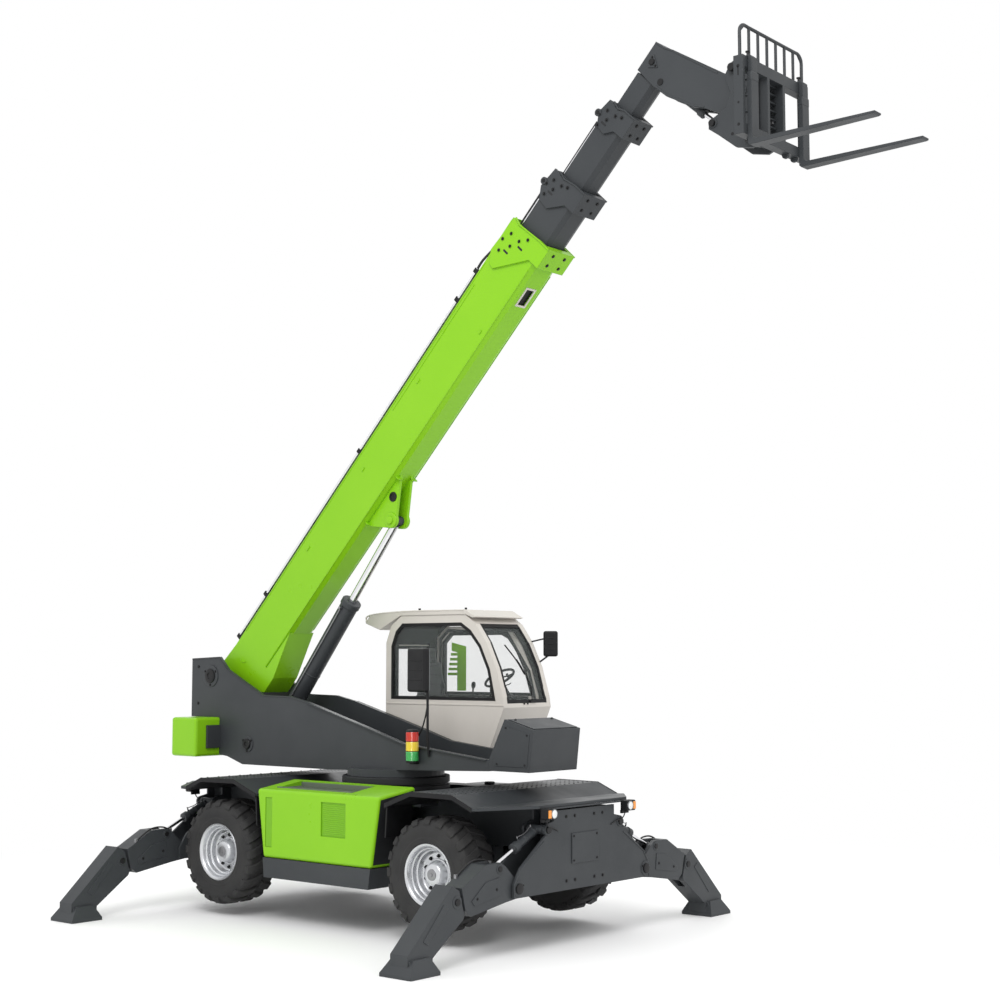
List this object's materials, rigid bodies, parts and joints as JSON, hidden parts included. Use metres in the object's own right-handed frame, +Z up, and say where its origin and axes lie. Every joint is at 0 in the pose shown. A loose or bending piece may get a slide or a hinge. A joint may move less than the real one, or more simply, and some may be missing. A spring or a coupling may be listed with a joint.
{
  "type": "rotating telehandler",
  "caption": "Rotating telescopic handler standing on its stabilisers, with a slewing turret and cab, a raised sectioned boom with a goose-neck nose, and pallet forks.",
  "frame": {"origin": "on the ground, at the middle of the bounding box's base", "axes": "+X forward, the way the boom and forks point; +Y to the machine's left, the cab's side; +Z up"},
  "size_m": [9.35, 5.22, 9.03],
  "materials": {
    "charcoal_paint": "satin charcoal paint",
    "lime_paint": "semi-gloss lime green paint",
    "dark_paint": "matt dark paint",
    "silver_paint": "silver wheel paint",
    "tyre_rubber": "matt black",
    "chrome": "polished",
    "cab_paint": "off-white paint",
    "seat_cloth": "dark cloth"
  },
  "bodies": {
    "chassis": {"chassis_frame": "charcoal_paint", "front_deck": "charcoal_paint", "rear_deck": "charcoal_paint", "front_axle": "charcoal_paint", "rear_axle": "charcoal_paint", "engine_cover": "lime_paint", "hydraulic_tank": "charcoal_paint", "engine_block": "dark_paint", "fuel_tank": "charcoal_paint", "slew_ring": "dark_paint"},
    "front_left_knuckle": {"front_left_knuckle": "dark_paint"},
    "front_left_wheel": {"front_left_wheel_rim": "silver_paint", "front_left_wheel_tyre": "tyre_rubber"},
    "front_right_knuckle": {"front_right_knuckle": "dark_paint"},
    "front_right_wheel": {"front_right_wheel_rim": "silver_paint", "front_right_wheel_tyre": "tyre_rubber"},
    "rear_left_knuckle": {"rear_left_knuckle": "dark_paint"},
    "rear_left_wheel": {"rear_left_wheel_rim": "silver_paint", "rear_left_wheel_tyre": "tyre_rubber"},
    "rear_right_knuckle": {"rear_right_knuckle": "dark_paint"},
    "rear_right_wheel": {"rear_right_wheel_rim": "silver_paint", "rear_right_wheel_tyre": "tyre_rubber"},
    "front_left_stabiliser_arm": {"front_left_stabiliser_arm": "charcoal_paint"},
    "front_left_stabiliser_leg": {"front_left_stabiliser_leg": "charcoal_paint"},
    "front_left_stabiliser_strut_barrel": {"front_left_stabiliser_strut_barrel": "charcoal_paint"},
    "front_left_stabiliser_strut_rod": {"front_left_stabiliser_strut_rod": "chrome"},
    "front_right_stabiliser_arm": {"front_right_stabiliser_arm": "charcoal_paint"},
    "front_right_stabiliser_leg": {"front_right_stabiliser_leg": "charcoal_paint"},
    "front_right_stabiliser_strut_barrel": {"front_right_stabiliser_strut_barrel": "charcoal_paint"},
    "front_right_stabiliser_strut_rod": {"front_right_stabiliser_strut_rod": "chrome"},
    "rear_left_stabiliser_arm": {"rear_left_stabiliser_arm": "charcoal_paint"},
    "rear_left_stabiliser_leg": {"rear_left_stabiliser_leg": "charcoal_paint"},
    "rear_left_stabiliser_strut_barrel": {"rear_left_stabiliser_strut_barrel": "charcoal_paint"},
    "rear_left_stabiliser_strut_rod": {"rear_left_stabiliser_strut_rod": "chrome"},
    "rear_right_stabiliser_arm": {"rear_right_stabiliser_arm": "charcoal_paint"},
    "rear_right_stabiliser_leg": {"rear_right_stabiliser_leg": "charcoal_paint"},
    "rear_right_stabiliser_strut_barrel": {"rear_right_stabiliser_strut_barrel": "charcoal_paint"},
    "rear_right_stabiliser_strut_rod": {"rear_right_stabiliser_strut_rod": "chrome"},
    "turret": {"turret_frame": "charcoal_paint", "counterweight": "lime_paint", "front_box": "charcoal_paint", "cab_shell": "cab_paint", "cab_roof": "cab_paint", "cab_seat": "seat_cloth", "cab_console": "dark_paint"},
    "cab_door": {"cab_door": "cab_paint"},
    "boom": {"boom_base": "lime_paint", "boom_service_tube": "chrome"},
    "boom_section_2": {"boom_section_2": "charcoal_paint"},
    "boom_section_3": {"boom_section_3": "charcoal_paint"},
    "boom_section_4": {"boom_section_4": "charcoal_paint"},
    "lift_barrel": {"lift_barrel": "charcoal_paint"},
    "lift_rod": {"lift_rod": "chrome"},
    "tilt_barrel": {"tilt_barrel": "charcoal_paint"},
    "tilt_rod": {"tilt_rod": "chrome"},
    "carriage": {"fork_carriage": "charcoal_paint", "fork_left": "charcoal_paint", "fork_right": "charcoal_paint"}
  },
  "joints": [
    {"name": "front_right_steer", "type": "hinge", "parent": "chassis", "child": "front_right_knuckle", "pos_m": [-0.02, -0.83, 0.693], "axis": [0, 0, 1], "range_deg": [-30, 30]},
    {"name": "front_right_wheel_spin", "type": "hinge", "parent": "front_right_knuckle", "child": "front_right_wheel", "pos_m": [-0.02, -0.9975, 0.693], "axis": [0, 1, 0], "continuous": true},
    {"name": "front_left_steer", "type": "hinge", "parent": "chassis", "child": "front_left_knuckle", "pos_m": [-0.02, 0.83, 0.693], "axis": [0, 0, 1], "range_deg": [-30, 30]},
    {"name": "front_left_wheel_spin", "type": "hinge", "parent": "front_left_knuckle", "child": "front_left_wheel", "pos_m": [-0.02, 0.9975, 0.693], "axis": [0, 1, 0], "continuous": true},
    {"name": "rear_right_steer", "type": "hinge", "parent": "chassis", "child": "rear_right_knuckle", "pos_m": [-3.19, -0.83, 0.693], "axis": [0, 0, 1], "range_deg": [-30, 30]},
    {"name": "rear_right_wheel_spin", "type": "hinge", "parent": "rear_right_knuckle", "child": "rear_right_wheel", "pos_m": [-3.19, -0.9975, 0.693], "axis": [0, 1, 0], "continuous": true},
    {"name": "rear_left_steer", "type": "hinge", "parent": "chassis", "child": "rear_left_knuckle", "pos_m": [-3.19, 0.83, 0.693], "axis": [0, 0, 1], "range_deg": [-30, 30]},
    {"name": "rear_left_wheel_spin", "type": "hinge", "parent": "rear_left_knuckle", "child": "rear_left_wheel", "pos_m": [-3.19, 0.9975, 0.693], "axis": [0, 1, 0], "continuous": true},
    {"name": "front_left_stabiliser_arm", "type": "hinge", "parent": "chassis", "child": "front_left_stabiliser_arm", "pos_m": [0.885, 1.05, 0.64], "axis": [1, 0, 0], "range_deg": [0, 60]},
    {"name": "front_left_stabiliser_leg", "type": "hinge", "parent": "front_left_stabiliser_arm", "child": "front_left_stabiliser_leg", "pos_m": [0.885, 1.865, 0.475], "axis": [1, 0, 0], "range_deg": [-120, 0]},
    {"name": "front_left_stabiliser_strut_swing", "type": "hinge", "parent": "chassis", "child": "front_left_stabiliser_strut_barrel", "pos_m": [0.885, 0.6, 1.16], "axis": [1, 0, 0], "range_deg": [-3, 1]},
    {"name": "front_left_stabiliser_strut_slide", "type": "slide", "parent": "front_left_stabiliser_strut_barrel", "child": "front_left_stabiliser_strut_rod", "axis": [0, 0.9097, -0.4153], "range_m": [-0.36, 0]},
    {"name": "front_right_stabiliser_arm", "type": "hinge", "parent": "chassis", "child": "front_right_stabiliser_arm", "pos_m": [0.885, -1.05, 0.64], "axis": [-1, 0, 0], "range_deg": [0, 60]},
    {"name": "front_right_stabiliser_leg", "type": "hinge", "parent": "front_right_stabiliser_arm", "child": "front_right_stabiliser_leg", "pos_m": [0.885, -1.865, 0.475], "axis": [-1, 0, 0], "range_deg": [-120, 0]},
    {"name": "front_right_stabiliser_strut_swing", "type": "hinge", "parent": "chassis", "child": "front_right_stabiliser_strut_barrel", "pos_m": [0.885, -0.6, 1.16], "axis": [-1, 0, 0], "range_deg": [-3, 1]},
    {"name": "front_right_stabiliser_strut_slide", "type": "slide", "parent": "front_right_stabiliser_strut_barrel", "child": "front_right_stabiliser_strut_rod", "axis": [0, -0.9097, -0.4153], "range_m": [-0.36, 0]},
    {"name": "rear_left_stabiliser_arm", "type": "hinge", "parent": "chassis", "child": "rear_left_stabiliser_arm", "pos_m": [-4.095, 1.05, 0.64], "axis": [1, 0, 0], "range_deg": [0, 60]},
    {"name": "rear_left_stabiliser_leg", "type": "hinge", "parent": "rear_left_stabiliser_arm", "child": "rear_left_stabiliser_leg", "pos_m": [-4.095, 1.865, 0.475], "axis": [1, 0, 0], "range_deg": [-120, 0]},
    {"name": "rear_left_stabiliser_strut_swing", "type": "hinge", "parent": "chassis", "child": "rear_left_stabiliser_strut_barrel", "pos_m": [-4.095, 0.6, 1.16], "axis": [1, 0, 0], "range_deg": [-3, 1]},
    {"name": "rear_left_stabiliser_strut_slide", "type": "slide", "parent": "rear_left_stabiliser_strut_barrel", "child": "rear_left_stabiliser_strut_rod", "axis": [0, 0.9097, -0.4153], "range_m": [-0.36, 0]},
    {"name": "rear_right_stabiliser_arm", "type": "hinge", "parent": "chassis", "child": "rear_right_stabiliser_arm", "pos_m": [-4.095, -1.05, 0.64], "axis": [-1, 0, 0], "range_deg": [0, 60]},
    {"name": "rear_right_stabiliser_leg", "type": "hinge", "parent": "rear_right_stabiliser_arm", "child": "rear_right_stabiliser_leg", "pos_m": [-4.095, -1.865, 0.475], "axis": [-1, 0, 0], "range_deg": [-120, 0]},
    {"name": "rear_right_stabiliser_strut_swing", "type": "hinge", "parent": "chassis", "child": "rear_right_stabiliser_strut_barrel", "pos_m": [-4.095, -0.6, 1.16], "axis": [-1, 0, 0], "range_deg": [-3, 1]},
    {"name": "rear_right_stabiliser_strut_slide", "type": "slide", "parent": "rear_right_stabiliser_strut_barrel", "child": "rear_right_stabiliser_strut_rod", "axis": [0, -0.9097, -0.4153], "range_m": [-0.36, 0]},
    {"name": "slew", "type": "hinge", "parent": "chassis", "child": "turret", "pos_m": [-1.605, 0, 1.55], "axis": [0, 0, 1], "continuous": true},
    {"name": "cab_door", "type": "hinge", "parent": "turret", "child": "cab_door", "pos_m": [-2.105, 1.285, 2.5], "axis": [0, 0, 1], "range_deg": [0, 100]},
    {"name": "boom_lift", "type": "hinge", "parent": "turret", "child": "boom", "pos_m": [-4.325, 0, 2.63], "axis": [0, -1, 0], "range_deg": [-44.5, 24]},
    {"name": "boom_extend", "type": "slide", "parent": "boom", "child": "boom_section_2", "axis": [0.6947, 0, 0.7193], "range_m": [-0.25, 4.6]},
    {"name": "boom_extend_3", "type": "slide", "parent": "boom_section_2", "child": "boom_section_3", "axis": [0.6947, 0, 0.7193], "range_m": [-0.25, 4.6]},
    {"name": "boom_extend_4", "type": "slide", "parent": "boom_section_3", "child": "boom_section_4", "axis": [0.6947, 0, 0.7193], "range_m": [-0.25, 4.6]},
    {"name": "lift_barrel_swing", "type": "hinge", "parent": "turret", "child": "lift_barrel", "pos_m": [-3.645, 0, 1.84], "axis": [0, -1, 0], "range_deg": [-46, 25]},
    {"name": "lift_rod_slide", "type": "slide", "parent": "lift_barrel", "child": "lift_rod", "axis": [0.6246, 0, 0.781], "range_m": [-0.8, 0.44]},
    {"name": "carriage_tilt", "type": "hinge", "parent": "boom_section_4", "child": "carriage", "pos_m": [3.065, 0, 8.28], "axis": [0, -1, 0], "range_deg": [-22, 45]},
    {"name": "tilt_barrel_swing", "type": "hinge", "parent": "boom_section_4", "child": "tilt_barrel", "pos_m": [2.115, 0, 8.6], "axis": [0, -1, 0], "range_deg": [-3, 3]},
    {"name": "tilt_rod_slide", "type": "slide", "parent": "tilt_barrel", "child": "tilt_rod", "axis": [0.7468, 0, -0.6651], "range_m": [-0.17, 0.31]}
  ],
  "couplings": [
    {"joint": "front_left_steer", "follows": "front_right_steer", "ratio": 1},
    {"joint": "rear_left_steer", "follows": "rear_right_steer", "ratio": 1},
    {"joint": "front_left_stabiliser_leg", "follows": "front_left_stabiliser_arm", "ratio": -1.83},
    {"joint": "front_left_stabiliser_strut_swing", "follows": "front_left_stabiliser_arm", "ratio": -0.02},
    {"joint": "front_left_stabiliser_strut_slide", "follows": "front_left_stabiliser_arm", "m_per_rad": -0.3},
    {"joint": "front_right_stabiliser_leg", "follows": "front_right_stabiliser_arm", "ratio": -1.83},
    {"joint": "front_right_stabiliser_strut_swing", "follows": "front_right_stabiliser_arm", "ratio": -0.02},
    {"joint": "front_right_stabiliser_strut_slide", "follows": "front_right_stabiliser_arm", "m_per_rad": -0.3},
    {"joint": "rear_left_stabiliser_leg", "follows": "rear_left_stabiliser_arm", "ratio": -1.83},
    {"joint": "rear_left_stabiliser_strut_swing", "follows": "rear_left_stabiliser_arm", "ratio": -0.02},
    {"joint": "rear_left_stabiliser_strut_slide", "follows": "rear_left_stabiliser_arm", "m_per_rad": -0.3},
    {"joint": "rear_right_stabiliser_leg", "follows": "rear_right_stabiliser_arm", "ratio": -1.83},
    {"joint": "rear_right_stabiliser_strut_swing", "follows": "rear_right_stabiliser_arm", "ratio": -0.02},
    {"joint": "rear_right_stabiliser_strut_slide", "follows": "rear_right_stabiliser_arm", "m_per_rad": -0.3},
    {"joint": "boom_extend_3", "follows": "boom_extend", "ratio": 1},
    {"joint": "boom_extend_4", "follows": "boom_extend", "ratio": 1},
    {"joint": "lift_barrel_swing", "follows": "boom_lift", "ratio": 1.01},
    {"joint": "lift_rod_slide", "follows": "boom_lift", "m_per_rad": 0.98},
    {"joint": "tilt_barrel_swing", "follows": "carriage_tilt", "ratio": -0.01},
    {"joint": "tilt_rod_slide", "follows": "carriage_tilt", "m_per_rad": 0.385}
  ]
}
